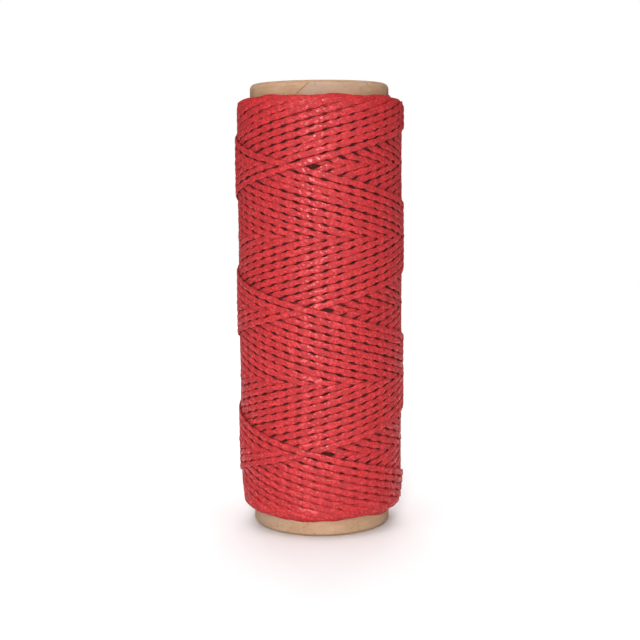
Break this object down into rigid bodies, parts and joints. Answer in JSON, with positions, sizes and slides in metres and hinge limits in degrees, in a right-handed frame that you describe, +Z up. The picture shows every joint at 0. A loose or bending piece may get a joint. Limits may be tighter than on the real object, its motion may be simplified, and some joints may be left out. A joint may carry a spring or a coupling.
{
  "type": "waxed thread spool",
  "caption": "Paper-tube spool with flat waxed sewing thread cross-wound on it, for hand stitching leather.",
  "frame": {"origin": "centre of the paper tube's lower end, on the tube's axis", "axes": "+Z up the tube's axis; -Y towards the side seen from the front"},
  "size_m": [0.0266, 0.0266, 0.07],
  "materials": {
    "kraft_paper": "matte, fibrous",
    "waxed_thread": "satin wax over a fine flat braid"
  },
  "bodies": {
    "root": {"core_inner_liner": "kraft_paper", "core_body_ply_1": "kraft_paper", "core_body_ply_2": "kraft_paper", "core_body_ply_3": "kraft_paper", "core_body_ply_4": "kraft_paper", "core_outer_ply": "kraft_paper", "thread_winding": "waxed_thread"}
  },
  "joints": []
}
